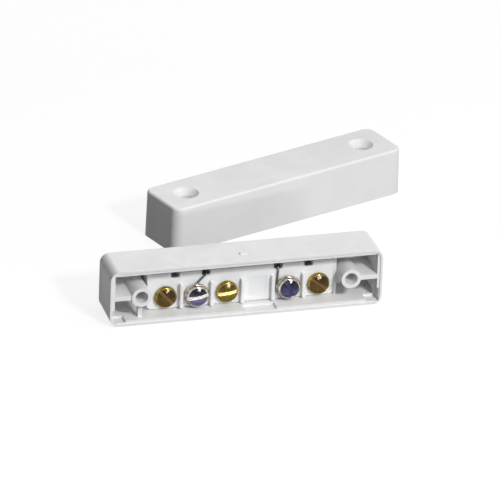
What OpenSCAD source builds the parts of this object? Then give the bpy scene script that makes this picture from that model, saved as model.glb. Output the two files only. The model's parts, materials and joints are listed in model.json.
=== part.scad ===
// Surface-mount magnetic alarm contact, sold as a pair: a switch half with a reed
// switch and a five-screw terminal deck, and the magnet half that moves past it on
// the door or window. Both halves share one moulded shell, open at the back.
// Each half is drawn as a tray: face down at z = 0, x along its length, rim on top.

/* [Shell] */
// Length of a half over its rim
shell_length = 65; // [62:0.5:80]
// Width of a half over its rim
shell_width = 13.9; // [13.6:0.1:18]
// Depth of a half from its face to its rim
shell_depth = 11.5; // [11.2:0.1:15]
// Thickness of the long side walls at the rim
side_wall = 1.3; // [1.1:0.05:1.5]
// Thickness of the end walls at the rim
end_wall = 1.2; // [1.1:0.05:1.6]
// Thickness of the face
face_wall = 1.7; // [1.6:0.05:2]
// Plan radius of the corners at the rim
corner_radius = 2.3; // [1.5:0.1:3]
// Radius that rounds the edge of the face
face_fillet = 0.6; // [0.3:0.05:1]
// Mould draft of every wall, in degrees
draft = 0.85; // [0.5:0.05:1.2]
// Width of the thin lip round the rim
lip_width = 0.55; // [0.4:0.05:0.8]
// Depth of the ledge inside the lip
ledge_depth = 0.3; // [0.2:0.05:1]

/* [Fixing holes] */
// Distance between the two fixing holes
hole_spacing = 50; // [48:0.5:52]
// Diameter of a fixing hole
hole_d = 3; // [2.6:0.1:3.2]
// Diameter of the countersink at the face
countersink_d = 6; // [5:0.1:6.2]
// Outer diameter of the boss round a fixing hole
boss_d = 4.7; // [4.1:0.1:5]
// Thickness of the webs that tie the bosses to the end walls
web_thickness = 1.1; // [0.8:0.05:1.4]

/* [Switch housing] */
// Thickness of the thin wall beside each end of the deck
partition_thickness = 0.6; // [0.4:0.05:0.8]
// How far the right partition stands below the front of the deck
partition_drop = 0.2; // [0.1:0.05:2]
// Length of the thinned cable exit in the lower wall, below the blank cell
knockout_length = 7.5; // [5:0.1:10]
// How far the cable exit reaches down from the rim
knockout_depth = 3; // [2:0.1:4]
// Wall that is left outside the cable exit and the corner pockets
thin_wall = 0.75; // [0.6:0.05:0.9]
// How far the pockets in the two lower corners reach past the walls
pocket_size = 1.9; // [1.5:0.1:3.2]
// How far the corner pockets reach down from the rim
pocket_depth = 3; // [2:0.1:4]
// Width of the short tie between the left boss and the lower wall
tie_width = 0.9; // [0.6:0.05:1.2]
// Depth of the tie
tie_depth = 1.4; // [0.8:0.1:3]
// Distance of the tie from the rim
tie_from_rim = 1.5; // [0.8:0.1:3]
// Length of the small locating mark on the upper wall
mark_length = 1.5; // [1:0.1:2.5]
// Width of the locating mark
mark_width = 1.1; // [0.4:0.1:1.4]
// How far the locating mark stands proud
mark_height = 0.25; // [0.1:0.05:0.4]
// Distance of the locating mark from the rim
mark_from_rim = 4.2; // [3:0.1:6]

/* [Terminal deck] */
// Height of the deck above the inside of the face
deck_height = 5.4; // [4.4:0.1:5.8]
// Thickness of the front plate of the deck
deck_plate = 0.9; // [0.8:0.1:1.8]
// How far the front plate reaches over the channel
plate_cover = 0.8; // [0.4:0.1:1]
// How far the front plate laps over the left partition
plate_lap = 0.6; // [0.3:0.05:0.6]
// Thickness of the skirt under the edge of the deck
deck_skirt = 0.8; // [0.6:0.05:1.2]
// Radius of the lower corners of the deck
deck_corner = 1; // [0.5:0.1:2]
// Gap between the deck and the walls round it
deck_gap = 0.1; // [0.05:0.05:0.3]
// Width of the channel above the deck, where the reed switch lies
channel_width = 2.9; // [2.6:0.1:3.4]
// Distance between neighbouring cells
cell_pitch = 7.3; // [6.9:0.05:7.4]
// Thickness of the ribs between the cells
rib_thickness = 0.7; // [0.4:0.05:1]
// How far the ribs stand proud of the deck
rib_height = 1.2; // [0.8:0.1:2.4]
// Length of the ribs
rib_length = 5.9; // [4:0.1:7]
// Distance of a rib's lower end from the edge of the deck
rib_inset = 0.2; // [0.1:0.05:0.8]
// Distance of the row of screws from the lower edge of the deck
screw_edge = 3.1; // [3:0.05:3.8]
// Width of the notches in the upper edge of the deck
notch_width = 2.1; // [1.6:0.1:2.6]
// How far the notches reach below the channel
notch_depth = 0.55; // [0.4:0.05:0.9]
// Sideways shift of each notch from the rib beside it
notch_shift = 1.3; // [0.8:0.05:2]

/* [Terminals] */
// Diameter of the screw heads
head_d = 5.2; // [4.4:0.1:5.4]
// Height of the screw heads
head_height = 1.6; // [1.3:0.1:2]
// Radius of the shoulder of the screw heads
head_shoulder = 0.5; // [0.2:0.05:0.7]
// Width of the screw slots
slot_width = 0.85; // [0.6:0.05:1.1]
// Depth of the screw slots
slot_depth = 0.8; // [0.5:0.05:1]
// Thread diameter of the screws
thread_d = 3; // [2.5:0.1:3.2]
// Gap between a screw's tip and the inside of the face
tip_gap = 0.4; // [0.2:0.1:1]
// Outer diameter of the brass bushes
bush_d = 4.2; // [4:0.1:4.6]
// Length of the brass bushes
bush_length = 3.4; // [2.6:0.1:3.8]
// Width of the groove round a bush
bush_groove = 0.8; // [0.4:0.1:1.2]
// Plastic round each bush
socket_wall = 0.8; // [0.5:0.05:1]
// Outer diameter of the clamp washers
washer_d = 5.8; // [5.4:0.1:6]
// Thickness of the clamp washers
washer_thickness = 0.4; // [0.3:0.05:0.6]
// Height of the turned-up edge of the clamp washers
washer_edge = 0.25; // [0.1:0.05:0.4]

/* [Reed switch] */
// Length of the glass capsule
glass_length = 14; // [10:0.5:15]
// Outer diameter of the glass capsule
glass_d = 2.2; // [1.8:0.1:2.3]
// Wall of the glass capsule
glass_wall = 0.25; // [0.2:0.05:0.35]
// Length of the solid seal at each end of the capsule
seal_length = 1.8; // [1:0.1:2.5]
// Height of the saddle floor under the capsule
saddle_floor = 0.5; // [0.3:0.1:0.8]
// Thickness of the two saddles that carry the capsule
saddle_thickness = 1; // [0.8:0.1:1.5]
// Distance between the two saddles
saddle_spacing = 8; // [6:0.5:9]
// Diameter of the leads
lead_d = 0.5; // [0.4:0.05:0.6]
// Width of the blades inside the capsule
blade_width = 1; // [0.7:0.1:1.1]
// Thickness of the blades
blade_thickness = 0.2; // [0.15:0.05:0.25]
// Gap between the two blades where they overlap
contact_gap = 0.15; // [0.1:0.05:0.2]
// Length over which the two blades overlap
blade_overlap = 1.2; // [0.8:0.1:2]
// Radius of the left lead's hook round its screw
left_hook_radius = 1.95; // [1.9:0.05:2.1]
// Radius of the right lead's hook round its screw
right_hook_radius = 2.75; // [2:0.05:2.8]

/* [Magnet] */
// Length of the bar magnet
magnet_length = 38; // [30:0.5:40]
// Width of the bar magnet
magnet_width = 7.4; // [6:0.1:8.4]
// Height of the bar magnet
magnet_height = 4.6; // [4:0.1:5]
// Chamfer on the long edges of the bar magnet
magnet_chamfer = 0.4; // [0.2:0.1:0.8]
// Thickness of the cradle ribs round the magnet
cradle_thickness = 1; // [0.8:0.1:1.4]
// Height of the cradle ribs
cradle_height = 3.2; // [2:0.1:4]
// Distance between the two pairs of side ribs
cradle_spacing = 24; // [16:1:28]
// Gap between the magnet and its cradle
magnet_gap = 0.1; // [0.05:0.05:0.2]

/* [Arrangement] */
// Sideways distance of the magnet half from the switch half
magnet_half_x = 20; // [0:1:30]
// Distance of the magnet half behind the rim of the switch half
magnet_half_y = 51; // [40:1:70]
// Turn of the magnet half on the floor, in degrees
magnet_half_turn = 20; // [0:1:30]

/* [Hidden] */
$fn = 48;

// Overlap that lets a cut break through a face, and the slack of a seated fit
eps = 0.01;
seat_gap = 0.03;
// How far a part that joins another is carried into it
join = 0.3;

shell_half = [shell_length / 2, shell_width / 2];
draft_shift = shell_depth * tan(draft);
cavity_half = [shell_half.x - end_wall, shell_half.y - side_wall];
ledge_z = shell_depth - ledge_depth;
hole_x = hole_spacing / 2;

// Half width of the cavity across the housing at height z above the face
function cavity_y(z) = cavity_half.y - (shell_depth - z) * tan(draft);
// Half length of the cavity at height z above the face
function cavity_x(z) = cavity_half.x - (shell_depth - z) * tan(draft);
// Points of an arc, from one angle to another
function arc(centre, radius, from, to, steps) =
    [for (i = [0 : steps]) centre + radius * [cos(from + (to - from) * i / steps),
                                              sin(from + (to - from) * i / steps)]];

// The deck lies on the inside of the face, between the partitions
deck_front = face_wall + deck_height;
plate_z = deck_front - deck_plate;
// The front plate laps over the left partition, and the right one stands beside it
partition_tops = [plate_z - deck_gap, deck_front - partition_drop];
partition_outer = hole_x - boss_d / 2 + seat_gap;
deck_half_length = partition_outer - partition_thickness - deck_gap;
deck_low = -cavity_y(face_wall) + deck_gap;
deck_high = cavity_y(face_wall) - channel_width;
screw_y = deck_low + screw_edge;

// Five of the six cells hold a screw: the place of each, counted from the left
blank_cell = 3;
cell_count = 6;
screw_cells = [for (i = [0 : cell_count - 1]) if (i != blank_cell) i];
function cell_x(i) = (i - (cell_count - 1) / 2) * cell_pitch;
function screw_x(number) = cell_x(screw_cells[number - 1]);
// Angle of each screw's slot, as it was left by the screwdriver
slot_angles = [-48, 8, 7, -72, -38];
// The second and the fourth screw clamp the leads of the reed switch
wired = [2, 4];
function is_wired(number) = len(search(number, wired)) > 0;

lead_z = deck_front + seat_gap + lead_d / 2;
washer_z = lead_z + lead_d / 2 + seat_gap;
function head_z(number) = is_wired(number) ? washer_z + washer_thickness : deck_front;

// The reed switch lies along the channel
reed_y = (deck_high + cavity_y(face_wall)) / 2;
reed_z = face_wall + saddle_floor + glass_d / 2;
notch_places = [for (side = [-1, 1], rib = [1, 2]) side * (rib * cell_pitch + notch_shift)];
lead_notch_x = cell_pitch + notch_shift;

// The switch half lies on its lower long wall, and the magnet half on its rim
switch_lift = shell_half.y * cos(draft) - shell_depth * sin(draft);
switch_front = shell_half.y * sin(draft) + shell_depth * cos(draft);
switch_back = (shell_half.y - draft_shift - face_fillet) * sin(draft) + face_fillet * (1 - cos(draft));
corner_centre = shell_half - [corner_radius, corner_radius];
turned_half = corner_radius * [1, 1]
    + [corner_centre.x * cos(magnet_half_turn) + corner_centre.y * sin(magnet_half_turn),
       corner_centre.x * sin(magnet_half_turn) + corner_centre.y * cos(magnet_half_turn)];
magnet_place = [magnet_half_x, magnet_half_y - switch_front];
pair_low = [min(-shell_half.x, magnet_place.x - turned_half.x),
            min(-switch_front, magnet_place.y - turned_half.y)];
pair_high = [max(shell_half.x, magnet_place.x + turned_half.x),
             max(switch_back, magnet_place.y + turned_half.y)];
pair_centre = (pair_low + pair_high) / 2;

module lay_switch_half()
    translate([-pair_centre.x, -pair_centre.y, switch_lift]) rotate([90 - draft, 0, 0]) children();

module lay_magnet_half()
    translate([magnet_place.x - pair_centre.x, magnet_place.y - pair_centre.y, shell_depth])
        rotate([0, 0, magnet_half_turn]) rotate([180, 0, 0]) children();

// Tapered block with rounded corners and a rounded edge round its face
module shell_block() {
    face_r = corner_radius - draft_shift;
    edge = arc([face_r - face_fillet, face_fillet], face_fillet, -90, -draft, 5);
    profile = concat([[0, 0]], edge, [[corner_radius, shell_depth], [0, shell_depth]]);
    hull()
        for (x = [-1, 1], y = [-1, 1])
            translate([x * corner_centre.x, y * corner_centre.y, 0])
                rotate_extrude($fn = 32) polygon(profile);
}

// Trapezoid that narrows by the draft from the rim down to height low
module drafted_section(half, low) {
    shift = (shell_depth - low) * tan(draft);
    over = eps * tan(draft);
    polygon([[-half + shift, low], [half - shift, low],
             [half + over, shell_depth + eps], [-half - over, shell_depth + eps]]);
}

// Hollow of the shell, with sharp corners and drafted walls
module cavity() {
    intersection() {
        rotate([90, 0, 90])
            linear_extrude(shell_length, center = true) drafted_section(cavity_half.y, face_wall);
        rotate([90, 0, 0])
            linear_extrude(shell_width, center = true) drafted_section(cavity_half.x, face_wall);
    }
}

// Rectangle with round corners, from its half sizes
module round_rectangle(half, radius) {
    square([2 * half.x, 2 * (half.y - radius)], center = true);
    square([2 * (half.x - radius), 2 * half.y], center = true);
    for (x = [-1, 1], y = [-1, 1])
        translate([x * (half.x - radius), y * (half.y - radius)]) circle(radius);
}

// Ledge that is sunk inside the lip
module ledge_cut() {
    translate([0, 0, ledge_z])
        linear_extrude(ledge_depth + eps)
            round_rectangle(shell_half - [lip_width, lip_width], corner_radius - lip_width);
}

// Countersunk fixing hole, from the face to the rim
module fixing_hole() {
    countersink_depth = (countersink_d - hole_d) / 2;
    translate([0, 0, -eps]) cylinder(d = hole_d, h = shell_depth + 2 * eps);
    translate([0, 0, -eps])
        cylinder(d1 = countersink_d + 2 * eps, d2 = hole_d, h = countersink_depth + eps);
}

// Boss round a fixing hole, with a web to the end wall
module fixing_post(side) {
    web_z = face_wall - join;
    web_height = ledge_z - web_z;
    end_reach = cavity_half.x + join - hole_x;
    translate([side * hole_x, 0, 0]) {
        translate([0, 0, web_z]) cylinder(d = boss_d, h = shell_depth - web_z);
        translate([side * end_reach / 2, 0, web_z + web_height / 2])
            cube([end_reach, web_thickness, web_height], center = true);
    }
}

// The moulded shell that both halves share, with the fixing holes still closed
module shell() {
    difference() {
        shell_block();
        cavity();
        ledge_cut();
    }
    for (side = [-1, 1]) fixing_post(side);
}

module fixing_holes()
    for (side = [-1, 1]) translate([side * hole_x, 0, 0]) fixing_hole();

// Thin walls beside the deck's two ends, each against a boss
module partitions() {
    foot = face_wall - join;
    for (i = [0, 1])
        translate([(2 * i - 1) * (partition_outer - partition_thickness / 2), 0, (foot + partition_tops[i]) / 2])
            cube([partition_thickness, 2 * cavity_y(face_wall) + join, partition_tops[i] - foot], center = true);
}

// Short tie near the rim, between the left boss and the lower wall
module boss_tie() {
    reach = cavity_half.y + join;
    translate([-hole_x, -reach / 2, shell_depth - tie_from_rim - tie_depth / 2])
        cube([tie_width, reach, tie_depth], center = true);
}

// Two saddles on the inside of the face that carry the glass capsule
module reed_saddles() {
    foot = face_wall - join;
    low = deck_high + deck_gap;
    high = cavity_y(face_wall) + join;
    for (side = [-1, 1])
        translate([side * saddle_spacing / 2, 0, 0])
            difference() {
                translate([-saddle_thickness / 2, low, foot])
                    cube([saddle_thickness, high - low, reed_z - foot]);
                translate([0, reed_y, reed_z]) rotate([0, 90, 0])
                    cylinder(d = glass_d + 2 * seat_gap, h = saddle_thickness + 2 * eps, center = true);
            }
}

// Cuts that thin the lower wall at the cable exit and in the two lower corners
module lower_wall_cuts() {
    cut_low = -shell_half.y + thin_wall;
    knockout_z = shell_depth - knockout_depth;
    translate([cell_x(blank_cell) - knockout_length / 2, cut_low, knockout_z])
        cube([knockout_length, side_wall, knockout_depth + eps]);
    pocket_z = shell_depth - pocket_depth;
    pocket_x = shell_half.x - thin_wall;
    for (side = [-1, 1])
        translate([side * (pocket_x - (end_wall + pocket_size) / 2), cut_low + (side_wall + pocket_size) / 2,
                   pocket_z + pocket_depth / 2 + eps / 2])
            cube([end_wall + pocket_size, side_wall + pocket_size, pocket_depth + eps], center = true);
}

// Small moulded mark on the outside of the upper wall
module locating_mark() {
    wall_y = shell_half.y - mark_from_rim * tan(draft);
    translate([0, wall_y + (mark_height - join) / 2, shell_depth - mark_from_rim])
        cube([mark_length, mark_height + join, mark_width], center = true);
}

module switch_housing() {
    color([0.93, 0.93, 0.91])
        lay_switch_half()
            difference() {
                union() {
                    difference() {
                        shell();
                        lower_wall_cuts();
                    }
                    partitions();
                    boss_tie();
                    reed_saddles();
                    locating_mark();
                }
                fixing_holes();
            }
}

// Outline of the deck up to height high: square upper corners, round lower ones
module deck_outline(high, inset = 0, lap = 0) {
    right = deck_half_length - inset;
    left = -right - lap;
    low = deck_low + inset;
    radius = max(deck_corner - inset, 0.2);
    translate([left, low + radius]) square([right - left, high - low - radius]);
    translate([left + radius, low]) square([right - left - 2 * radius, high - low]);
    for (x = [left + radius, right - radius]) translate([x, low + radius]) circle(radius);
}

// Notch with a round bottom in the upper edge of the front plate
module notch() {
    round_d = min(notch_width, 2 * notch_depth);
    translate([0, deck_high - notch_depth + round_d / 2]) {
        square([notch_width - round_d, round_d], center = true);
        translate([-notch_width / 2, 0]) square([notch_width, notch_depth + plate_cover + eps]);
        for (side = [-1, 1]) translate([side * (notch_width - round_d) / 2, 0]) circle(d = round_d);
    }
}

// Gap in the skirt behind a notch, which opens into the hollow under the front plate
module skirt_gap()
    translate([-notch_width / 2, deck_high - deck_skirt - eps])
        square([notch_width, deck_skirt + 2 * eps]);

module deck_ribs() {
    for (i = [1 : cell_count - 1])
        translate([(i - cell_count / 2) * cell_pitch - rib_thickness / 2, deck_low + rib_inset, deck_front - join])
            cube([rib_thickness, rib_length, rib_height + join]);
}

// The blank cell has a shallow sunk panel
module blank_panel() {
    margin = 1.1;
    sink = 0.15;
    width = cell_pitch - rib_thickness - 2 * margin;
    translate([cell_x(blank_cell) - width / 2, deck_low + margin, deck_front - sink])
        cube([width, rib_length - margin, sink + eps]);
}

module terminal_deck() {
    socket_d = bush_d + 2 * socket_wall;
    color([0.95, 0.95, 0.93])
        lay_switch_half()
            difference() {
                union() {
                    difference() {
                        union() {
                            translate([0, 0, face_wall]) linear_extrude(deck_height) deck_outline(deck_high);
                            translate([0, 0, plate_z])
                                linear_extrude(deck_plate)
                                    deck_outline(deck_high + plate_cover, lap = plate_lap);
                        }
                        translate([0, 0, face_wall - eps])
                            linear_extrude(deck_height - deck_plate + eps) {
                                deck_outline(deck_high - deck_skirt, deck_skirt);
                                for (x = notch_places) translate([x, 0]) skirt_gap();
                            }
                    }
                    for (number = [1 : 5])
                        translate([screw_x(number), screw_y, face_wall])
                            cylinder(d = min(socket_d, 2 * screw_edge), h = plate_z - face_wall + join);
                    deck_ribs();
                }
                for (number = [1 : 5]) translate([screw_x(number), screw_y, 0]) {
                    translate([0, 0, deck_front - bush_length])
                        cylinder(d = bush_d + 2 * seat_gap, h = bush_length + eps);
                    translate([0, 0, face_wall - eps])
                        cylinder(d = thread_d + 4 * seat_gap, h = deck_height);
                }
                translate([0, 0, plate_z - eps]) linear_extrude(deck_plate + 2 * eps)
                    for (x = notch_places) translate([x, 0]) notch();
                blank_panel();
            }
}

// Domed head with a round shoulder, drawn from its underside up
module screw_head() {
    side_height = head_height * 0.4;
    radius = head_d / 2;
    crown = radius - head_shoulder;
    crown_z = side_height + head_shoulder;
    shoulder = arc([crown, side_height], head_shoulder, 0, 75, 5);
    dome = [for (i = [1 : 6]) let (a = i / 6) [crown * (1 - a), crown_z + (head_height - crown_z) * (1 - (1 - a) * (1 - a))]];
    rotate_extrude($fn = 64) polygon(concat([[0, 0], [radius, 0]], shoulder, dome));
}

module terminal_screw(number) {
    head_colour = is_wired(number) ? [0.72, 0.72, 0.74] : [0.72, 0.58, 0.24];
    shank = deck_height - tip_gap;
    color(head_colour)
        lay_switch_half()
            translate([screw_x(number), screw_y, head_z(number)]) {
                difference() {
                    screw_head();
                    rotate([0, 0, slot_angles[number - 1]])
                        translate([0, 0, head_height - slot_depth / 2 + eps / 2])
                            cube([head_d + 1, slot_width, slot_depth + eps], center = true);
                }
                translate([0, 0, -shank]) cylinder(d = thread_d, h = shank + eps);
            }
}

// Threaded brass bush, pressed into the deck until it is flush
module terminal_bush(number) {
    groove_sink = 0.25;
    middle = bush_length / 2;
    bore_r = thread_d / 2 + seat_gap;
    outer_r = bush_d / 2;
    color([0.76, 0.6, 0.26])
        lay_switch_half()
            translate([screw_x(number), screw_y, deck_front - bush_length])
                rotate_extrude()
                    difference() {
                        translate([bore_r, 0]) square([outer_r - bore_r, bush_length]);
                        translate([outer_r - groove_sink, middle - bush_groove / 2])
                            square([groove_sink + eps, bush_groove]);
                    }
}

// Washer with a turned-up edge, between a screw head and a lead
module clamp_washer(number) {
    bore_r = thread_d / 2 + 2 * seat_gap;
    outer_r = washer_d / 2;
    seat_r = max(head_d / 2 + seat_gap, outer_r - washer_thickness / 2);
    color([0.7, 0.7, 0.68])
        lay_switch_half()
            translate([screw_x(number), screw_y, washer_z])
                rotate_extrude($fn = 64)
                    polygon([[bore_r, 0], [outer_r - washer_edge / 2, 0], [outer_r, washer_edge / 2],
                             [outer_r, washer_thickness + washer_edge / 2],
                             [outer_r - washer_edge / 4, washer_thickness + washer_edge],
                             [seat_r, washer_thickness], [bore_r, washer_thickness]]);
}

// Glass capsule with a solid seal at each end and a bore for each lead
module reed_glass() {
    radius = glass_d / 2;
    half = glass_length / 2;
    hollow_half = half - seal_length;
    end_round = radius * 0.6;
    color([0.75, 0.85, 0.8])
        lay_switch_half()
            translate([0, reed_y, reed_z]) rotate([0, 90, 0])
                difference() {
                    rotate_extrude()
                        polygon(concat([[0, -half]], arc([radius - end_round, -half + end_round], end_round, -90, 0, 6),
                                       arc([radius - end_round, half - end_round], end_round, 0, 90, 6), [[0, half]]));
                    cylinder(r = radius - glass_wall, h = 2 * hollow_half, center = true);
                    cylinder(d = lead_d + 2 * seat_gap, h = glass_length + 2 * eps, center = true);
                }
}

// Curved corner of a lead: points that round the corner b between a and c
function rounded(a, b, c, reach, steps = 4) =
    let (from = b + reach * (a - b) / norm(a - b), to = b + reach * (c - b) / norm(c - b))
        [for (i = [0 : steps]) let (t = i / steps)
            (1 - t) * (1 - t) * from + 2 * t * (1 - t) * b + t * t * to];
// Points of a route with every inner corner rounded
function soft_route(corners, reach) =
    concat([corners[0]],
           [for (i = [1 : len(corners) - 2]) each rounded(corners[i - 1], corners[i], corners[i + 1], reach)],
           [corners[len(corners) - 1]]);
function direction(route, i) =
    let (step = route[min(i + 1, len(route) - 1)] - route[max(i - 1, 0)]) step / norm(step);
// A normal for each point of a route, carried along without twist
function carried_normals(route, i, last) =
    i == len(route) ? [] :
    let (along = direction(route, i), side = last - (last * along) * along, normal = side / norm(side))
        concat([normal], carried_normals(route, i + 1, normal));

// Round wire swept along a route
module wire(route, diameter, sides = 12) {
    normals = carried_normals(route, 0, [0, 0.6, 0.8]);
    count = len(route);
    points = [for (i = [0 : count - 1], k = [0 : sides - 1])
        let (a = 360 * k / sides, across = cross(direction(route, i), normals[i]))
            route[i] + diameter / 2 * (cos(a) * normals[i] + sin(a) * across)];
    walls = [for (i = [0 : count - 2], k = [0 : sides - 1])
        let (next = (k + 1) % sides)
            [i * sides + k, (i + 1) * sides + k, (i + 1) * sides + next, i * sides + next]];
    first = [for (k = [0 : sides - 1]) k];
    last = [for (k = [sides - 1 : -1 : 0]) (count - 1) * sides + k];
    polyhedron(points = points, faces = concat([first], walls, [last]), convexity = 8);
}

// Points of the hook round a screw, at the height of the leads
function hook(number, radius, from, to) =
    [for (p = arc([screw_x(number), screw_y], radius, from, to, 14)) [p.x, p.y, lead_z]];

// The stretch from the capsule up through a notch to the front of the deck
function riser(side) = [
    [side * (glass_length / 2 - seal_length - 0.4), reed_y, reed_z],
    [side * lead_notch_x, reed_y, reed_z],
    [side * lead_notch_x, deck_high + 0.1, lead_z]
];

// Flat blade of the reed switch, from the middle of the capsule to its seal
module blade(side) {
    reach = glass_length / 2 - seal_length - seat_gap;
    start = -blade_overlap / 2;
    offset_z = (contact_gap + blade_thickness) / 2;
    translate([side * (start + reach) / 2, reed_y, reed_z + side * offset_z])
        cube([reach - start, blade_width, blade_thickness], center = true);
}

module reed_lead_left() {
    turn = hook(2, left_hook_radius, 115, 285);
    route = concat(soft_route(concat(riser(-1), [turn[0]]), 0.6), [for (i = [1 : len(turn) - 1]) turn[i]]);
    color([0.55, 0.54, 0.5])
        lay_switch_half() {
            wire(route, lead_d);
            blade(-1);
        }
}

module reed_lead_right() {
    turn = hook(4, right_hook_radius, 178, 285);
    route = concat(soft_route(concat(riser(1), [turn[0]]), 0.6), [for (i = [1 : len(turn) - 1]) turn[i]]);
    color([0.55, 0.54, 0.5])
        lay_switch_half() {
            wire(route, lead_d);
            blade(1);
        }
}

// Ribs that hold the bar magnet against the inside of the face
module magnet_cradle() {
    foot = face_wall - join;
    height = cradle_height + join;
    wall = cavity_y(face_wall) + join;
    inner = magnet_width / 2 + magnet_gap;
    for (side = [-1, 1]) {
        for (x = [-1, 1])
            translate([x * cradle_spacing / 2, side * (inner + wall) / 2, foot + height / 2])
                cube([cradle_thickness, wall - inner, height], center = true);
        translate([side * (magnet_length / 2 + magnet_gap + cradle_thickness / 2), 0, foot + height / 2])
            cube([cradle_thickness, 2 * wall, height], center = true);
    }
}

module magnet_housing() {
    color([0.93, 0.93, 0.91])
        lay_magnet_half()
            difference() {
                union() {
                    shell();
                    magnet_cradle();
                }
                fixing_holes();
            }
}

module bar_magnet() {
    half_y = magnet_width / 2;
    high = face_wall + magnet_height;
    color([0.3, 0.3, 0.32])
        lay_magnet_half()
            rotate([90, 0, 90])
                linear_extrude(magnet_length, center = true)
                    polygon([[-half_y, face_wall + magnet_chamfer], [-half_y + magnet_chamfer, face_wall],
                             [half_y - magnet_chamfer, face_wall], [half_y, face_wall + magnet_chamfer],
                             [half_y, high - magnet_chamfer], [half_y - magnet_chamfer, high],
                             [-half_y + magnet_chamfer, high], [-half_y, high - magnet_chamfer]]);
}

switch_housing();
terminal_deck();
terminal_screw(1);  // terminal_screw_1
terminal_screw(2);  // terminal_screw_2
terminal_screw(3);  // terminal_screw_3
terminal_screw(4);  // terminal_screw_4
terminal_screw(5);  // terminal_screw_5
terminal_bush(1);  // terminal_bush_1
terminal_bush(2);  // terminal_bush_2
terminal_bush(3);  // terminal_bush_3
terminal_bush(4);  // terminal_bush_4
terminal_bush(5);  // terminal_bush_5
clamp_washer(2);  // clamp_washer_2
clamp_washer(4);  // clamp_washer_4
reed_glass();
reed_lead_left();
reed_lead_right();
magnet_housing();
bar_magnet();
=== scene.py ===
"""Dresses the magnetic alarm contact: refined meshes, finishes, studio and the photograph's camera."""

import json
import logging
import math
from dataclasses import dataclass, field
from enum import Enum

import bpy
from mathutils import Matrix, Vector

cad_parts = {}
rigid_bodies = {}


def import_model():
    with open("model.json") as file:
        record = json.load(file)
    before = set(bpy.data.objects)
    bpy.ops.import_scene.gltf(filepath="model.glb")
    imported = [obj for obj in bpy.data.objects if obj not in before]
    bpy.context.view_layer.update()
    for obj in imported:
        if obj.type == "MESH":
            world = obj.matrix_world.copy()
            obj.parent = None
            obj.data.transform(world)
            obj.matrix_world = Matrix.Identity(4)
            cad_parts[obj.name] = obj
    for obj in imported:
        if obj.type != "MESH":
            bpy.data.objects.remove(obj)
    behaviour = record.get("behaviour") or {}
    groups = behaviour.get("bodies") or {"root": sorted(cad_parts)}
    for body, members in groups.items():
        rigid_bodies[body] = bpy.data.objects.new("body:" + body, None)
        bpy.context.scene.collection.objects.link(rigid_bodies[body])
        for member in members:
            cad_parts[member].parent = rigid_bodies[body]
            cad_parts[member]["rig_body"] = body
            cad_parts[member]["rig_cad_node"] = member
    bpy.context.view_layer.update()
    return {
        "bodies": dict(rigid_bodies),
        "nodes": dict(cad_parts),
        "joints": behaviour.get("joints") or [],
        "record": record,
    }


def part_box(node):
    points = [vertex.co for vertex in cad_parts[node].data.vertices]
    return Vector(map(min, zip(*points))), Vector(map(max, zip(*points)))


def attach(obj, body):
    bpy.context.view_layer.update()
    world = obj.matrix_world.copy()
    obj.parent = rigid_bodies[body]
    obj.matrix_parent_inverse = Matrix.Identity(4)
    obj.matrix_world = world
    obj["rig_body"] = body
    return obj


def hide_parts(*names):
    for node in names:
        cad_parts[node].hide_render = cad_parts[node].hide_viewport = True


LOG = logging.getLogger("contact")
MM = 0.001
Colour = tuple[float, float, float]
# Points closer than this are one point, and faces that meet at less than this angle are one face.
SAME_POINT = 0.002 * MM
FLAT_ANGLE = 0.4
# Angle below which two faces of a wire or of the capsule shade as one surface, in degrees.
ROUND_SMOOTH = 40.0
# How far a corner's normal follows its larger face, where 50 is not at all and 100 is wholly.
LARGE_FACE_WEIGHT = 90
# A wave texture draws one ring in each full turn of its coordinate times this rate.
WAVE_RATE = 20.0
# The colour sockets of a Mix node: its two inputs and its output.
MIX_FIRST, MIX_SECOND, MIX_RESULT = 6, 7, 2


@dataclass(frozen=True)
class EdgeStyle:
    """How the edges of a piece are broken.

    Args:
        width: Width of the rounded edge, in metres.
        segments: Faces across the rounded edge.
        sharp_from: Angle between two faces from which their edge is rounded, in degrees.
    """

    width: float
    segments: int
    sharp_from: float = 28.0


class Edge(Enum):
    """The edge styles that the maker's processes leave."""

    MOULDED = EdgeStyle(0.14 * MM, 3)
    MOULDED_FINE = EdgeStyle(0.08 * MM, 2)
    TURNED = EdgeStyle(0.07 * MM, 3, 35.0)
    STAMPED = EdgeStyle(0.05 * MM, 2, 30.0)
    DRAWN = EdgeStyle(0.0, 0)


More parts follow.
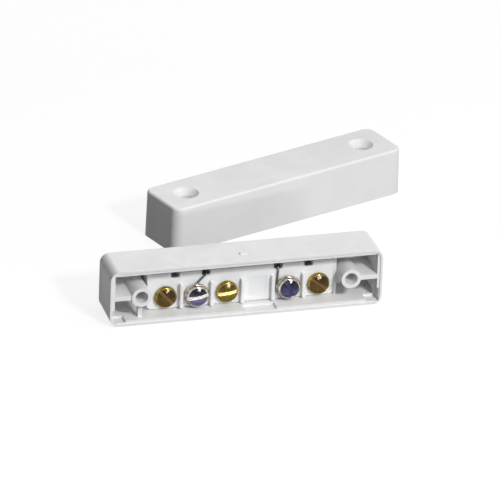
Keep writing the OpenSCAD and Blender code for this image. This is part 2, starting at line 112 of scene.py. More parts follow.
class Shader:
    """A material's node tree, with short calls that add and join its nodes."""

    def __init__(self, name: str) -> None:
        """Makes a material that holds only an output and a surface shader.

        Args:
            name: The material's name.
        """
        self.material = bpy.data.materials.new(name)
        self.material.use_nodes = True
        self.tree = self.material.node_tree
        self.tree.nodes.clear()
        self.output = self.tree.nodes.new("ShaderNodeOutputMaterial")
        self.surface = self.tree.nodes.new("ShaderNodeBsdfPrincipled")
        self.join(self.surface.outputs["BSDF"], self.output.inputs["Surface"])

    def join(self, start: bpy.types.NodeSocket, end: bpy.types.NodeSocket) -> None:
        """Links two sockets."""
        self.tree.links.new(start, end)

    def add(self, kind: str, **settings: object) -> bpy.types.Node:
        """Adds a node.

        Args:
            kind: The node's type, without its ShaderNode prefix.
            **settings: Properties to set on the node.

        Returns:
            The new node.
        """
        node = self.tree.nodes.new(f"ShaderNode{kind}")
        for key, value in settings.items():
            setattr(node, key, value)
        return node

    def place(self, rotation: Matrix | None = None, centre: Vector | None = None) -> bpy.types.NodeSocket:
        """Object coordinates, turned and centred on a piece.

        Args:
            rotation: Turn from the row frame to the pattern's own frame.
            centre: Point of the row frame that becomes the pattern's origin.

        Returns:
            The socket that gives the coordinates.
        """
        coordinates = self.add("TexCoord").outputs["Object"]
        if rotation is None and centre is None:
            return coordinates
        rotation = rotation or Matrix.Identity(3)
        centre = centre or Vector((0.0, 0.0, 0.0))
        mapping = self.add("Mapping")
        mapping.inputs["Rotation"].default_value = rotation.to_euler("XYZ")
        mapping.inputs["Location"].default_value = -(rotation @ centre)
        self.join(coordinates, mapping.inputs["Vector"])
        return mapping.outputs["Vector"]

    def noise(self, place: bpy.types.NodeSocket, size: float, detail: float = 2.0,
              distortion: float = 0.0) -> bpy.types.NodeSocket:
        """Noise whose blotches are about a given size.

        Args:
            place: Coordinates that the noise reads.
            size: Size of a blotch, in metres.
            detail: Octaves of finer noise.
            distortion: How far the noise is warped.

        Returns:
            The socket that gives the noise's value.
        """
        node = self.add("TexNoise")
        node.inputs["Scale"].default_value = 1.0 / size
        node.inputs["Detail"].default_value = detail
        node.inputs["Distortion"].default_value = distortion
        self.join(place, node.inputs["Vector"])
        return node.outputs["Fac"]

    def rings(self, place: bpy.types.NodeSocket, pitch: float, wobble: float = 1.0) -> bpy.types.NodeSocket:
        """Lathe rings round the pattern's Z axis.

        Args:
            place: Coordinates that the rings read.
            pitch: Distance between two rings, in metres.
            wobble: How uneven the rings are.

        Returns:
            The socket that gives the height of the rings.
        """
        node = self.add("TexWave", wave_type="RINGS", rings_direction="Z")
        node.inputs["Scale"].default_value = math.tau / WAVE_RATE / pitch
        node.inputs["Distortion"].default_value = wobble
        node.inputs["Detail"].default_value = 1.0
        node.inputs["Detail Scale"].default_value = 0.4
        self.join(place, node.inputs["Vector"])
        return node.outputs["Fac"]

    def spread(self, value: bpy.types.NodeSocket, low: float, high: float,
               start: float = 0.3, end: float = 0.7) -> bpy.types.NodeSocket:
        """Maps a value from start..end onto low..high.

        Args:
            value: The value to map.
            low: What start becomes.
            high: What end becomes.
            start: Lowest value that counts.
            end: Highest value that counts.

        Returns:
            The socket that gives the mapped value.
        """
        node = self.add("MapRange")
        for key, number in (("From Min", start), ("From Max", end), ("To Min", low), ("To Max", high)):
            node.inputs[key].default_value = number
        self.join(value, node.inputs["Value"])
        return node.outputs["Result"]

    def blend(self, amount: bpy.types.NodeSocket, first: Colour, second: Colour) -> bpy.types.NodeSocket:
        """Mixes two colours.

        Args:
            amount: Share of the second colour.
            first: Colour at 0.
            second: Colour at 1.

        Returns:
            The socket that gives the mixed colour.
        """
        node = self.add("Mix", data_type="RGBA")
        node.inputs[MIX_FIRST].default_value = (*first, 1.0)
        node.inputs[MIX_SECOND].default_value = (*second, 1.0)
        self.join(amount, node.inputs[0])
        return node.outputs[MIX_RESULT]

    def bump(self, height: bpy.types.NodeSocket, depth: float,
             below: bpy.types.NodeSocket | None = None) -> bpy.types.NodeSocket:
        """Turns a height into a bumped normal.

        Args:
            height: The height, from 0 to 1.
            depth: Depth of the relief, in metres.
            below: Normal of a coarser relief that this one lies on.

        Returns:
            The socket that gives the normal.
        """
        node = self.add("Bump")
        node.inputs["Strength"].default_value = 1.0
        node.inputs["Distance"].default_value = depth
        self.join(height, node.inputs["Height"])
        if below is not None:
            self.join(below, node.inputs["Normal"])
        return node.outputs["Normal"]


@dataclass(frozen=True)
class MouldedPlastic:
    """Satin injection-moulded plastic, with a fine grain and a faint flow mottle.

    Args:
        name: The material's name.
        colour: The plastic's colour.
        shade: Colour of the mottle.
        roughness: Least and most roughness over the mottle.
        grain: Size of the grain.
        grain_depth: Depth of the grain.
        flow: Size of the mottle.
        flow_depth: Depth of the mottle.
        gloss: Specular level.
        glow: Share of the light that passes under the surface.
        glow_reach: How far that light goes.
        glow_tint: How far it goes in red, green and blue, against the longest.
    """

    name: str
    colour: Colour
    shade: Colour
    roughness: tuple[float, float] = (0.34, 0.46)
    grain: float = 0.16 * MM
    grain_depth: float = 0.0022 * MM
    flow: float = 7.0 * MM
    flow_depth: float = 0.006 * MM
    gloss: float = 0.22
    glow: float = 0.06
    glow_reach: float = 0.6 * MM
    glow_tint: Colour = (1.0, 0.9, 0.8)

    def build(self) -> bpy.types.Material:
        """Makes the material.

        Returns:
            The material.
        """
        shader = Shader(self.name)
        place = shader.place()
        flow = shader.noise(place, self.flow, detail=3.0, distortion=0.6)
        grain = shader.noise(place, self.grain)
        colour = shader.blend(shader.spread(flow, 0.0, 1.0), self.colour, self.shade)
        shader.join(colour, shader.surface.inputs["Base Color"])
        shader.join(shader.spread(flow, *self.roughness), shader.surface.inputs["Roughness"])
        waves = shader.bump(flow, self.flow_depth)
        shader.join(shader.bump(grain, self.grain_depth, waves), shader.surface.inputs["Normal"])
        shader.surface.inputs["Specular IOR Level"].default_value = self.gloss
        shader.surface.inputs["Subsurface Weight"].default_value = self.glow
        shader.surface.inputs["Subsurface Radius"].default_value = self.glow_tint
        shader.surface.inputs["Subsurface Scale"].default_value = self.glow_reach
        return shader.material


class SlotLight(Enum):
    """Whether a screw's slot gets painted shade or a painted highlight."""

    # Painted light: a shaded slot is painted dark, a lit slot gets a painted highlight.
    SHADED_SLOT = "dull"
    LIT_SLOT = "bright"


@dataclass(frozen=True)
class PaintedHeadLight:
    """Painted reflections on a screw's crown and painted light in its slot, inside its plain rim.

    Args:
        upper: Painted reflection on the crown's upper side, the darker one.
        lower: Painted reflection on the crown's lower side, the lighter one.
        slot: Painted shade or a painted highlight in the slot.
    """

    upper: Colour
    lower: Colour
    slot: Colour


@dataclass(frozen=True)
class TurnedMetal:
    """Metal turned on a lathe: rings, tarnish in patches, and on a screw's head painted reflections on the
    crown and painted shade or a painted highlight in the slot.

    Args:
        name: The material's name.
        colour: Colour of the clean metal.
        tarnish: Colour of the patches.
        heads: Painted reflections on the crown and painted light in the slot of a screw's head, by how its
            slot is lit.
        roughness: Least and most roughness over the patches.
        ring_pitch: Distance between two lathe rings.
        ring_depth: Depth of the rings.
        patch: Size of the patches.
        patch_from: Value of the patches' noise from which the tarnish shows.
        patch_to: Value at which it is full.
        fine: Size of the finest marks.
        film: Weight of the thin lacquer film that glints.
        film_roughness: Roughness of the film.
        crown_radius: Outer radius of the crown, where its painted reflections end.
        crown_fade: Width over which the crown fades into the rim.
        crown_drop: Fall of the dome with the square of the radius, per metre.
        slot_from: Depth under the dome at which the slot's painted light is full.
        slot_to: Depth under the dome at which it ends.
        reflection_from: Height over the slot where the upper painted reflection is full.
        reflection_to: Height where the lower painted reflection is full.
        reflection_wander: How far the two painted reflections wander into each other.
        reflection_size: Size of the wandering.
    """

    name: str
    colour: Colour
    tarnish: Colour
    heads: dict[SlotLight, PaintedHeadLight]
    roughness: tuple[float, float] = (0.16, 0.34)
    ring_pitch: float = 0.11 * MM
    ring_depth: float = 0.0016 * MM
    patch: float = 1.3 * MM
    patch_from: float = 0.38
    patch_to: float = 0.66
    fine: float = 0.12 * MM
    film: float = 0.5
    film_roughness: float = 0.05
    crown_radius: float = 2.34 * MM
    crown_fade: float = 0.16 * MM
    crown_drop: float = 104.0
    slot_from: float = 0.16 * MM
    slot_to: float = 0.07 * MM
    reflection_from: float = 0.9 * MM
    reflection_to: float = -0.8 * MM
    reflection_wander: float = 3.2 * MM
    reflection_size: float = 1.1 * MM

    def dress_head(self, shader: Shader, place: bpy.types.NodeSocket, plain: bpy.types.NodeSocket,
                   top: float, slot_light: SlotLight) -> bpy.types.NodeSocket:
        """Paints reflections on the head's crown and shade or a highlight in its slot, inside its plain
        rim.

        Args:
            shader: The shader that gets the nodes.
            place: Coordinates on the screw's axis.
            plain: Colour of the rim.
            top: Height of the middle of the dome.
            slot_light: Whether the slot is painted shaded or gets a painted highlight.

        Returns:
            The head's colour, with its painted reflections and painted slot light.
        """
        split = shader.add("SeparateXYZ")
        shader.join(place, split.inputs["Vector"])
        flat = shader.add("VectorMath", operation="MULTIPLY")
        flat.inputs[1].default_value = (1.0, 1.0, 0.0)
        shader.join(place, flat.inputs[0])
        radius = shader.add("VectorMath", operation="LENGTH")
        shader.join(flat.outputs["Vector"], radius.inputs[0])
        dome = shader.add("Math", operation="MULTIPLY")
        shader.join(radius.outputs["Value"], dome.inputs[0])
        shader.join(radius.outputs["Value"], dome.inputs[1])
        level = shader.add("Math", operation="MULTIPLY_ADD")
        level.inputs[1].default_value = self.crown_drop
        shader.join(dome.outputs["Value"], level.inputs[0])
        shader.join(split.outputs["Z"], level.inputs[2])
        on_top = shader.spread(level.outputs["Value"], 0.0, 1.0, top - self.slot_from, top - self.slot_to)
        inside = shader.spread(radius.outputs["Value"], 1.0, 0.0, self.crown_radius - self.crown_fade,
                               self.crown_radius)
        # Painted reflection: the crown is darker on its upper side and lighter on its lower side, with
        # noise between.
        wander = shader.add("Math", operation="MULTIPLY_ADD")
        wander.inputs[1].default_value = self.reflection_wander
        shader.join(shader.noise(place, self.reflection_size, distortion=0.4), wander.inputs[0])
        shader.join(split.outputs["Y"], wander.inputs[2])
        middle = self.reflection_wander / 2
        reflection_share = shader.spread(wander.outputs["Value"], 0.0, 1.0,
                             self.reflection_from + middle, self.reflection_to + middle)
        crown = shader.blend(reflection_share, self.heads[slot_light].upper, self.heads[slot_light].lower)
        # Painted shade or a painted highlight in the slot, under the dome.
        slotted = shader.add("Mix", data_type="RGBA")
        slotted.inputs[MIX_FIRST].default_value = (*self.heads[slot_light].slot, 1.0)
        shader.join(on_top, slotted.inputs[0])
        shader.join(crown, slotted.inputs[MIX_SECOND])
        head = shader.add("Mix", data_type="RGBA")
        shader.join(inside, head.inputs[0])
        shader.join(plain, head.inputs[MIX_FIRST])
        shader.join(slotted.outputs[MIX_RESULT], head.inputs[MIX_SECOND])
        return head.outputs[MIX_RESULT]

    def build(self, centre: Vector, turn: Matrix, top: float | None = None,
              slot_light: SlotLight = SlotLight.SHADED_SLOT) -> bpy.types.Material:
        """Makes the material for one turned piece.

        Args:
            centre: Point on the piece's axis.
            turn: Rotation that stands the piece's axis along Z.
            top: Height of a screw's dome over its centre, or None for a piece with no crown.
            slot_light: Whether a screw's slot is painted shaded or gets a painted highlight.

        Returns:
            The material.
        """
        shader = Shader(self.name)
        place = shader.place(turn, centre)
        rings = shader.rings(place, self.ring_pitch)
        patch = shader.noise(place, self.patch, detail=3.0, distortion=0.8)
        fine = shader.noise(place, self.fine)
        dulled = shader.spread(patch, 0.0, 1.0, self.patch_from, self.patch_to)
        colour = shader.blend(dulled, self.colour, self.tarnish)
        # A screw's head gets painted reflections on its crown and painted light in its slot.
        if top is not None:
            colour = self.dress_head(shader, place, colour, top, slot_light)
        shader.join(colour, shader.surface.inputs["Base Color"])
        shader.join(shader.spread(patch, *self.roughness), shader.surface.inputs["Roughness"])
        turned = shader.bump(rings, self.ring_depth)
        shader.join(shader.bump(fine, self.ring_depth, turned), shader.surface.inputs["Normal"])
        shader.surface.inputs["Metallic"].default_value = 1.0
        shader.surface.inputs["Coat Weight"].default_value = self.film
        shader.surface.inputs["Coat Roughness"].default_value = self.film_roughness
        return shader.material


@dataclass(frozen=True)
class DrawnWire:
    """Tinned wire with the faint blots and unevenness of dipping.

    Args:
        name: The material's name.
        colour: Colour of the tin.
        stain: Colour of the blots.
        roughness: Least and most roughness over the blots.
        blot: Size of the blots.
        pimple: Size of the finest unevenness.
        pimple_depth: Depth of the unevenness.
    """

    name: str = "tinned_wire"
    colour: Colour = (0.26, 0.25, 0.22)
    stain: Colour = (0.06, 0.055, 0.045)
    roughness: tuple[float, float] = (0.22, 0.42)
    blot: float = 0.7 * MM
    pimple: float = 0.1 * MM
    pimple_depth: float = 0.003 * MM

    def build(self) -> bpy.types.Material:
        """Makes the material.

        Returns:
            The material.
        """
        shader = Shader(self.name)
        place = shader.place()
        blot = shader.noise(place, self.blot, detail=3.0, distortion=0.5)
        shader.join(shader.blend(shader.spread(blot, 0.0, 1.0), self.colour, self.stain),
                    shader.surface.inputs["Base Color"])
        shader.join(shader.spread(blot, *self.roughness), shader.surface.inputs["Roughness"])
        uneven = shader.bump(shader.noise(place, self.pimple), self.pimple_depth)
        shader.join(uneven, shader.surface.inputs["Normal"])
        shader.surface.inputs["Metallic"].default_value = 1.0
        return shader.material


@dataclass(frozen=True)
class CapsuleGlass:
    """Greenish glass of the sealed capsule.

    Args:
        name: The material's name.
        colour: Tint of the glass.
        roughness: Least and most roughness over the waves.
        wave: Size of the waves in its surface.
        wave_depth: Depth of the waves.
        index: Refractive index.
        clear: Share of the light that passes through.
    """

    name: str = "capsule_glass"
    colour: Colour = (0.78, 0.9, 0.84)
    roughness: tuple[float, float] = (0.02, 0.06)
    wave: float = 1.6 * MM
    wave_depth: float = 0.004 * MM
    index: float = 1.47
    clear: float = 0.94

    def build(self) -> bpy.types.Material:
        """Makes the material.

        Returns:
            The material.
        """
        shader = Shader(self.name)
        place = shader.place()
        wave = shader.noise(place, self.wave, detail=1.0)
        shader.join(shader.spread(wave, *self.roughness), shader.surface.inputs["Roughness"])
        shader.join(shader.bump(wave, self.wave_depth), shader.surface.inputs["Normal"])
        shader.surface.inputs["Base Color"].default_value = (*self.colour, 1.0)
        shader.surface.inputs["Transmission Weight"].default_value = self.clear
        shader.surface.inputs["IOR"].default_value = self.index
        return shader.material


@dataclass(frozen=True)
class GroundAlloy:
    """Dark cast magnet alloy with a ground face.

    Args:
        name: The material's name.
        colour: Colour of the alloy.
        bright: Colour of the scratches.
        roughness: Least and most roughness over the pits.
        metallic: How far the face is bare metal.
        scratch: Length of the scratches.
        scratch_depth: Depth of the scratches.
        narrow: How many times longer than wide a scratch is.
        pit: Size of the pits.
        pit_depth: Depth of the pits.
    """

    name: str = "magnet_alloy"
    colour: Colour = (0.13, 0.13, 0.14)
    bright: Colour = (0.24, 0.24, 0.25)
    roughness: tuple[float, float] = (0.35, 0.6)
    metallic: float = 0.85
    scratch: float = 1.5 * MM
    scratch_depth: float = 0.004 * MM
    narrow: float = 14.0
    pit: float = 0.35 * MM
    pit_depth: float = 0.008 * MM

    def build(self, turn: Matrix) -> bpy.types.Material:
        """Makes the material.

        Args:
            turn: Rotation that lays the magnet's length along X.

        Returns:
            The material.
        """
        shader = Shader(self.name)
        place = shader.place(turn)
        stretch = shader.add("Mapping")
        stretch.inputs["Scale"].default_value = (1.0, self.narrow, 1.0)
        shader.join(place, stretch.inputs["Vector"])
        scratch = shader.noise(stretch.outputs["Vector"], self.scratch, detail=3.0)
        pits = shader.noise(place, self.pit)
        shader.join(shader.blend(shader.spread(scratch, 0.0, 1.0), self.colour, self.bright),
                    shader.surface.inputs["Base Color"])
        shader.join(shader.spread(pits, *self.roughness), shader.surface.inputs["Roughness"])
        ground = shader.bump(scratch, self.scratch_depth)
        shader.join(shader.bump(pits, self.pit_depth, ground), shader.surface.inputs["Normal"])
        shader.surface.inputs["Metallic"].default_value = self.metallic
        return shader.material


def deselect_all() -> None:
    """Leaves nothing selected and nothing active."""
    bpy.ops.object.select_all(action="DESELECT")
    bpy.context.view_layer.objects.active = None


def activate(piece: bpy.types.Object) -> None:
    """Selects one piece alone and makes it active.

    Args:
        piece: The piece.
    """
    deselect_all()
    piece.select_set(True)
    bpy.context.view_layer.objects.active = piece


def paint(piece: bpy.types.Object, material: bpy.types.Material) -> None:
    """Gives a piece one material on all its faces.

    Args:
        piece: The piece.
        material: The material.
    """
    piece.data.materials.clear()
    piece.data.materials.append(material)


def apply_all(piece: bpy.types.Object) -> None:
    """Applies every modifier of a piece.

    Args:
        piece: The piece.
    """
    activate(piece)
    for name in [modifier.name for modifier in piece.modifiers]:
        bpy.ops.object.modifier_apply(modifier=name)


def refine(frame: dict, node: str, edge: Edge, smooth: float = 32.0) -> bpy.types.Object:
    """Makes the shown piece for a node: one closed skin with its edges broken.

    Args:
        node: Name of the node.
        edge: Style of the piece's edges.
        smooth: Angle below which two faces shade as one surface, in degrees.

    Returns:
        The piece, which rides with the root and stands for the node.
    """
    activate(frame["nodes"][node])
    bpy.ops.object.duplicate()
    piece = bpy.context.view_layer.objects.active
    piece.parent = None
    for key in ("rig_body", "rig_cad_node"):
        if key in piece:
            del piece[key]
    piece.name = f"{node}_skin"
    piece.data.name = piece.name
    bpy.ops.object.mode_set(mode="EDIT")
    bpy.ops.mesh.select_all(action="SELECT")
    bpy.ops.mesh.remove_doubles(threshold=SAME_POINT)
    bpy.ops.mesh.dissolve_limited(angle_limit=math.radians(FLAT_ANGLE))
    bpy.ops.object.mode_set(mode="OBJECT")
    style = edge.value
    if style.segments:
        bevel = piece.modifiers.new("broken_edges", "BEVEL")
        bevel.width = style.width
        bevel.segments = style.segments
        bevel.limit_method = "ANGLE"
        bevel.angle_limit = math.radians(style.sharp_from)
        bevel.use_clamp_overlap = True
        bevel.miter_outer = "MITER_SHARP"
        apply_all(piece)
    activate(piece)
    bpy.ops.object.shade_smooth_by_angle(angle=math.radians(smooth))
    even = piece.modifiers.new("even_normals", "WEIGHTED_NORMAL")
    even.keep_sharp = True
    even.weight = LARGE_FACE_WEIGHT
    split = piece.modifiers.new("split_faces", "TRIANGULATE")
    split.min_vertices = 4
    split.quad_method = "BEAUTY"
    split.ngon_method = "BEAUTY"
    split.keep_custom_normals = True
    apply_all(piece)
    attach(piece, "root")
    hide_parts(node)
    LOG.info("%s: %d faces", piece.name, len(piece.data.polygons))
    return piece


@dataclass
class SwitchHalf:
    """The reed switch half: shell, terminal deck, screws, washers, bushes and reed switch.

    Args:
        tilt: Angle by which the shell's draft tips its axis, in degrees.
        wired: Numbers of the nickel screws, each with a washer and a lead.
        lit_slots: Numbers of the screws whose slot gets a painted highlight rather than painted shade.
        screws: How many terminal screws there are.
        pieces: The pieces that were built.
    """

    frame: dict
    tilt: float = 0.85
    wired: tuple[int, ...] = (2, 4)
    lit_slots: tuple[int, ...] = (2, 3)
    screws: int = 5
    pieces: list[bpy.types.Object] = field(default_factory=list)

    def turn(self) -> Matrix:
        """Rotation that stands the half's own axis along Z."""
        return Matrix.Rotation(math.radians(self.tilt - 90.0), 3, "X")

    def centre(self, node: str) -> Vector:
        """Finds the middle of a node's box.

        Args:
            node: Name of the node.

        Returns:
            The middle.
        """
        low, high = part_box(node)
        return (Vector(low) + Vector(high)) / 2

    def shell(self, plastic: bpy.types.Material) -> None:
        """Builds and dresses the housing.

        Args:
            plastic: Material of the shells.
        """
        housing = refine(self.frame, "switch_housing", Edge.MOULDED)
        paint(housing, plastic)
        self.pieces.append(housing)

    def deck(self, plastic: bpy.types.Material) -> None:
        """Builds and dresses the terminal deck.

        Args:
            plastic: Material of the deck.
        """
        deck = refine(self.frame, "terminal_deck", Edge.MOULDED_FINE)
        paint(deck, plastic)
        self.pieces.append(deck)

    def terminals(self, brass: TurnedMetal, nickel: TurnedMetal) -> None:
        """Builds and dresses the screws, bushes and washers.

        Args:
            brass: Finish of the plain screws and the bushes.
            nickel: Finish of the wired screws and their washers.
        """
        for number in range(1, self.screws + 1):
            is_wired = number in self.wired
            finish = nickel if is_wired else brass
            node = f"terminal_screw_{number}"
            screw = refine(self.frame, node, Edge.TURNED)
            low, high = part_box(node)
            # Painted light: these screws get a painted highlight in the slot, the others painted shade.
            slot_light = SlotLight.LIT_SLOT if number in self.lit_slots else SlotLight.SHADED_SLOT
            paint(screw, finish.build(self.centre(node), self.turn(), (high[1] - low[1]) / 2, slot_light))
            bush = refine(self.frame, f"terminal_bush_{number}", Edge.TURNED)
            paint(bush, brass.build(self.centre(node), self.turn()))
            self.pieces += [screw, bush]
            if is_wired:
                washer = refine(self.frame, f"clamp_washer_{number}", Edge.STAMPED)
                paint(washer, nickel.build(self.centre(node), self.turn()))
                self.pieces.append(washer)

    def reed(self, wire: bpy.types.Material, glass: bpy.types.Material) -> None:
        """Builds and dresses the capsule and its two leads.

        Args:
            wire: Material of the leads and blades.
            glass: Material of the capsule.
        """
        for side in ("left", "right"):
            lead = refine(self.frame, f"reed_lead_{side}", Edge.DRAWN, ROUND_SMOOTH)
            paint(lead, wire)
            self.pieces.append(lead)
        capsule = refine(self.frame, "reed_glass", Edge.DRAWN, ROUND_SMOOTH)
        paint(capsule, glass)
        self.pieces.append(capsule)


@dataclass
class MagnetHalf:
    """The magnet half: the shell and the bar magnet inside it.

    Args:
        yaw: Turn of the half on the floor, in degrees.
        pieces: The pieces that were built.
    """

    frame: dict
    yaw: float = 20.0
    pieces: list[bpy.types.Object] = field(default_factory=list)

    def shell(self, plastic: bpy.types.Material) -> None:
        """Builds and dresses the housing.

        Args:
            plastic: Material of the shells.
        """
        housing = refine(self.frame, "magnet_housing", Edge.MOULDED)
        paint(housing, plastic)
        self.pieces.append(housing)

    def magnet(self, alloy: GroundAlloy) -> None:
        """Builds and dresses the bar magnet.

        Args:
            alloy: Finish of the magnet.
        """
        bar = refine(self.frame, "bar_magnet", Edge.STAMPED)
        paint(bar, alloy.build(Matrix.Rotation(math.radians(-self.yaw), 3, "Z")))
        self.pieces.append(bar)


@dataclass(frozen=True)
class SoftLamp:
    """One soft lamp of the studio.

    Args:
        name: Name of the lamp.
        direction: Direction from the object to the lamp.
        distance: Distance from the object.
        width: Width of the lamp.
        height: Height of the lamp.
        level: Light on a face that points at the lamp, where 1 shows a colour as written.
    """

    name: str
    direction: tuple[float, float, float]
    distance: float
    width: float
    height: float
    level: float


@dataclass
class Studio:
    """White floor, surround and soft sky, with a main lamp, a low one that glints and a faint back one.

    Args:
        lamps: The lamps.
        sky_direction: Direction from the object to the brightest part of the surround.
        sky_level: Light of that part.
        side_level: Light of the parts at right angles to it and beyond.
        sky_full: Cosine of the angle to that direction within which the light is full.
        floor_size: Length of the floor's sides.
        floor_colour: Colour by which the floor lights the object.
        floor_roughness: Roughness of the floor.
        floor_gloss: Specular level of the floor.
        seen_colour: Colour of the seen floor that its lamps and shadows act on.
        floor_lift: Light added to the seen floor, so that it is white.
        near: Distance from the origin up to which the shadow shows in full.
        far: Distance beyond which the seen floor is plain white.
    """

    lamps: tuple[SoftLamp, ...] = (
        SoftLamp("key_lamp", (0.25, -0.79, 0.61), 0.55, 0.07, 0.07, 0.61),
        SoftLamp("front_lamp", (0.247, -0.955, 0.165), 0.42, 0.12, 0.014, 0.12),
        SoftLamp("back_lamp", (0.1, 0.9, 0.42), 0.55, 0.25, 0.25, 0.13))
    sky_direction: Vector = field(default_factory=lambda: Vector((0.5, -0.25, 0.83)))
    sky_level: float = 0.93
    side_level: float = 0.0
    sky_full: float = 0.9
    floor_size: float = 8.0
    floor_colour: Colour = (0.16, 0.16, 0.16)
    floor_roughness: float = 0.9
    floor_gloss: float = 0.1
    seen_colour: Colour = (0.2, 0.2, 0.2)
    floor_lift: float = 0.83
    near: float = 0.12
    far: float = 0.34

    def floor(self) -> None:
        """Lays the floor, which keeps the object's shadow near it and is plain white further off."""
        deselect_all()
        bpy.ops.mesh.primitive_plane_add(size=self.floor_size, location=(0.0, 0.0, 0.0))
        plane = bpy.context.view_layer.objects.active
        plane.name = "studio_floor"
        shader = Shader("studio_floor")
        shader.surface.inputs["Base Color"].default_value = (*self.floor_colour, 1.0)
        shader.surface.inputs["Roughness"].default_value = self.floor_roughness
        shader.surface.inputs["Specular IOR Level"].default_value = self.floor_gloss
        shaded = shader.add("BsdfDiffuse")
        shaded.inputs["Color"].default_value = (*self.seen_colour, 1.0)
        lift = shader.add("Emission")
        lift.inputs["Strength"].default_value = self.floor_lift
        lit = shader.add("AddShader")
        shader.join(shaded.outputs["BSDF"], lit.inputs[0])
        shader.join(lift.outputs["Emission"], lit.inputs[1])
        white = shader.add("Emission")
        length = shader.add("VectorMath", operation="LENGTH")
        shader.join(shader.place(), length.inputs[0])
        away = shader.spread(length.outputs["Value"], 0.0, 1.0, self.near, self.far)
        seen_floor = shader.add("MixShader")
        shader.join(away, seen_floor.inputs[0])
        shader.join(lit.outputs[0], seen_floor.inputs[1])
        shader.join(white.outputs["Emission"], seen_floor.inputs[2])
        shown = shader.add("MixShader")
        shader.join(self.sees_backdrop(shader.tree), shown.inputs[0])
        shader.join(shader.surface.outputs["BSDF"], shown.inputs[1])
        shader.join(seen_floor.outputs[0], shown.inputs[2])
        shader.join(shown.outputs[0], shader.output.inputs["Surface"])
        paint(plane, shader.material)

    def sees_backdrop(self, tree: bpy.types.NodeTree) -> bpy.types.NodeSocket:
        """Tells the rays that see the white backdrop from those that only light the object.

        Args:
            tree: The node tree that gets the nodes.

        Returns:
            The socket that gives 1 for a camera, glossy or transmission ray.
        """
        path = tree.nodes.new("ShaderNodeLightPath")
        seen = path.outputs["Is Camera Ray"]
        for kind in ("Is Glossy Ray", "Is Transmission Ray"):
            either = tree.nodes.new("ShaderNodeMath")
            either.operation = "MAXIMUM"
            tree.links.new(seen, either.inputs[0])
            tree.links.new(path.outputs[kind], either.inputs[1])
            seen = either.outputs["Value"]
        return seen

    def surround(self) -> None:
        """Makes the world: white where it is seen, and a soft sky that lights the object from above."""
        world = bpy.data.worlds.new("studio_surround")
        bpy.context.scene.world = world
        world.use_nodes = True
        tree = world.node_tree
        tree.nodes.clear()
        output = tree.nodes.new("ShaderNodeOutputWorld")
        direction = tree.nodes.new("ShaderNodeTexCoord")
        toward = tree.nodes.new("ShaderNodeVectorMath")
        toward.operation = "DOT_PRODUCT"
        toward.inputs[1].default_value = self.sky_direction.normalized()
        tree.links.new(direction.outputs["Generated"], toward.inputs[0])
        height = tree.nodes.new("ShaderNodeMapRange")
        for key, value in (("From Min", 0.0), ("From Max", self.sky_full),
                           ("To Min", self.side_level), ("To Max", self.sky_level)):
            height.inputs[key].default_value = value
        tree.links.new(toward.outputs["Value"], height.inputs["Value"])
        soft = tree.nodes.new("ShaderNodeBackground")
        tree.links.new(height.outputs["Result"], soft.inputs["Strength"])
        white = tree.nodes.new("ShaderNodeBackground")
        shown = tree.nodes.new("ShaderNodeMixShader")
        tree.links.new(self.sees_backdrop(tree), shown.inputs[0])
        tree.links.new(soft.outputs["Background"], shown.inputs[1])
        tree.links.new(white.outputs["Background"], shown.inputs[2])
        tree.links.new(shown.outputs["Shader"], output.inputs["Surface"])

    def hang(self, lamp: SoftLamp) -> None:
        """Hangs one lamp, aimed at the object.

        A small area lamp lights a face that points at it by its energy over (pi * distance) squared.

        Args:
            lamp: The lamp's place, size and level.
        """
        data = bpy.data.lights.new(lamp.name, "AREA")
        data.shape = "RECTANGLE"
        data.size = lamp.width
        data.size_y = lamp.height
        data.energy = lamp.level * math.pi ** 2 * lamp.distance ** 2
        piece = bpy.data.objects.new(lamp.name, data)
        bpy.context.scene.collection.objects.link(piece)
        toward = Vector(lamp.direction).normalized()
        piece.location = toward * lamp.distance
        piece.rotation_mode = "QUATERNION"
        piece.rotation_quaternion = toward.to_track_quat("Z", "Y")
        piece.visible_camera = False

    def build(self) -> None:
        """Builds the whole studio."""
        bpy.context.scene.view_settings.view_transform = "Standard"
        self.floor()
        self.surround()
        for lamp in self.lamps:
            self.hang(lamp)


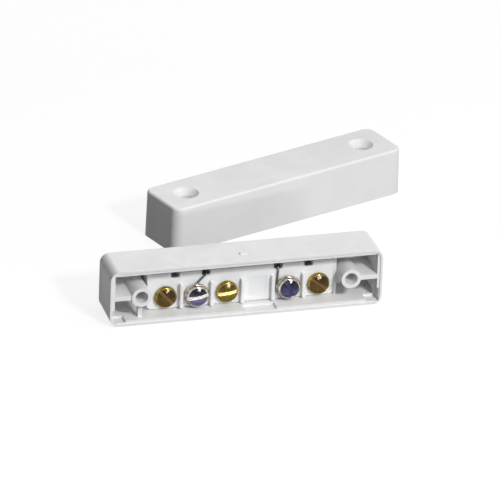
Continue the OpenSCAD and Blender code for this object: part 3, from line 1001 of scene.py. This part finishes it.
@dataclass
class PhotoCamera:
    """The camera that takes the photograph's view.

    Args:
        azimuth: Turn of the view round the object, in degrees; 0 looks along +Y.
        elevation: Height of the view over the floor, in degrees.
        roll: Turn of the picture, in degrees.
        pixels_per_mm: Scale of the picture at the switch half's rim.
        focal_pixels: Focal length, in pixels.
        picture: Side of the picture, in pixels.
        sensor_width: Width of the sensor, in millimetres.
        rim_foot: Pixel of the point on the floor under the middle of the switch half's rim.
        clip: Nearest and furthest distance that is seen.
    """

    azimuth: float = -15.985
    elevation: float = 26.337
    roll: float = 2.211
    pixels_per_mm: float = 4.334
    focal_pixels: float = 12000.0
    picture: float = 500.0
    sensor_width: float = 36.0
    rim_foot: tuple[float, float] = (245.95, 315.59)
    clip: tuple[float, float] = (0.01, 50.0)

    def build(self) -> None:
        """Makes the camera and hands it to the scene."""
        turn, rise, roll = (math.radians(a) for a in (self.azimuth, self.elevation, self.roll))
        flat = math.cos(rise)
        forward = Vector((-math.sin(turn) * flat, math.cos(turn) * flat, -math.sin(rise)))
        level = Vector((math.cos(turn), math.sin(turn), 0.0))
        steep = forward.cross(level)
        right = math.cos(roll) * level - math.sin(roll) * steep
        down = math.sin(roll) * level + math.cos(roll) * steep
        metre = self.pixels_per_mm / MM
        low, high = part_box("switch_housing")
        foot = Vector(((low[0] + high[0]) / 2, low[1], 0.0))
        offset = [(pixel - self.picture / 2) / metre for pixel in self.rim_foot]
        place = foot - offset[0] * right - offset[1] * down - self.focal_pixels / metre * forward
        data = bpy.data.cameras.new("photo_camera")
        data.sensor_width = self.sensor_width
        data.lens = data.sensor_width * self.focal_pixels / self.picture
        data.clip_start, data.clip_end = self.clip
        camera = bpy.data.objects.new("photo_camera", data)
        bpy.context.scene.collection.objects.link(camera)
        columns = Matrix((right, -down, -forward)).transposed()
        camera.matrix_world = Matrix.Translation(place) @ columns.to_4x4()
        bpy.context.scene.camera = camera


def main() -> None:
    """Builds the dressed contact, its studio and its camera."""
    logging.basicConfig(level=logging.INFO, format="%(message)s")
    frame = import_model()
    deselect_all()
    white_shell = MouldedPlastic("white_shell", (0.78, 0.78, 0.78), (0.75, 0.75, 0.75)).build()
    white_deck = MouldedPlastic("white_deck", (0.87, 0.87, 0.87), (0.84, 0.84, 0.84), (0.3, 0.42),
                                glow=0.7, glow_reach=1.6 * MM).build()
    brass = TurnedMetal(
        "brass", colour=(0.38, 0.27, 0.03), tarnish=(0.17, 0.11, 0.01),
        # Head colours: painted reflections on the crowns, darker above, and painted shade or a painted
        # highlight in the slots.
        heads={SlotLight.SHADED_SLOT: PaintedHeadLight((0.03, 0.015, 0.001), (0.12, 0.07, 0.006), (0.17, 0.09, 0.02)),
               SlotLight.LIT_SLOT: PaintedHeadLight((0.08, 0.05, 0.003), (0.21, 0.14, 0.012), (0.88, 0.70, 0.34))})
    nickel = TurnedMetal(
        "nickel", colour=(0.76, 0.72, 0.66), tarnish=(0.34, 0.30, 0.25),
        # Head colours: painted reflections on the crowns, near black above and blue below, and painted
        # shade or a painted highlight in the slots.
        heads={SlotLight.SHADED_SLOT: PaintedHeadLight((0.003, 0.003, 0.006), (0.06, 0.065, 0.19), (0.03, 0.03, 0.09)),
               SlotLight.LIT_SLOT: PaintedHeadLight((0.003, 0.003, 0.006), (0.13, 0.13, 0.28), (0.92, 0.86, 0.82))},
        roughness=(0.08, 0.2), film=0.7)
    switch = SwitchHalf(frame)
    switch.shell(white_shell)
    switch.deck(white_deck)
    switch.terminals(brass, nickel)
    switch.reed(DrawnWire().build(), CapsuleGlass().build())
    magnet = MagnetHalf(frame)
    magnet.shell(white_shell)
    magnet.magnet(GroundAlloy())
    Studio().build()
    PhotoCamera().build()
    deselect_all()
    for piece in switch.pieces + magnet.pieces:
        LOG.info("built %s", piece.name)


if __name__ == "__main__":
    main()
